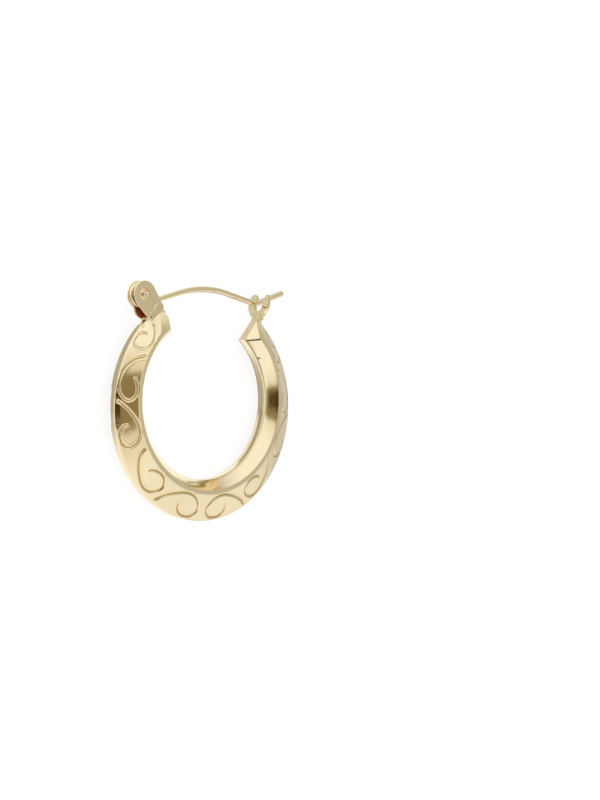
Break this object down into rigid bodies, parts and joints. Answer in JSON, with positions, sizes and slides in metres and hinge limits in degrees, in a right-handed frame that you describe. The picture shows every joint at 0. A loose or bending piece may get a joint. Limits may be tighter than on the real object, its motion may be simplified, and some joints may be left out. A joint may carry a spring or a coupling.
{
  "type": "creole hoop earring",
  "caption": "Round creole hoop earring with ridged faces, engraved scrolls, and a hinged ear wire that closes into a keyhole catch.",
  "frame": {"origin": "bottom centre of the box round the hoop and its closed ear wire, on the surface that the back ridge rests on", "axes": "+Z is the hoop's axis and points out of its front face, +Y points to the ear wire, +X from the hinge to the catch"},
  "size_m": [0.025, 0.0262, 0.0035],
  "materials": {
    "hoop_gold": "polished",
    "rivet_gold": "polished",
    "wire_gold": "polished"
  },
  "bodies": {
    "hoop_body": {"hoop": "hoop_gold", "hinge_rivet": "rivet_gold"},
    "wire_body": {"ear_wire": "wire_gold"}
  },
  "joints": [
    {"name": "wire_swing", "type": "hinge", "parent": "hoop_body", "child": "wire_body", "pos_m": [-0.00931, 0.011, 0.00175], "axis": [0, 0, 1], "range_deg": [0, 100]}
  ]
}
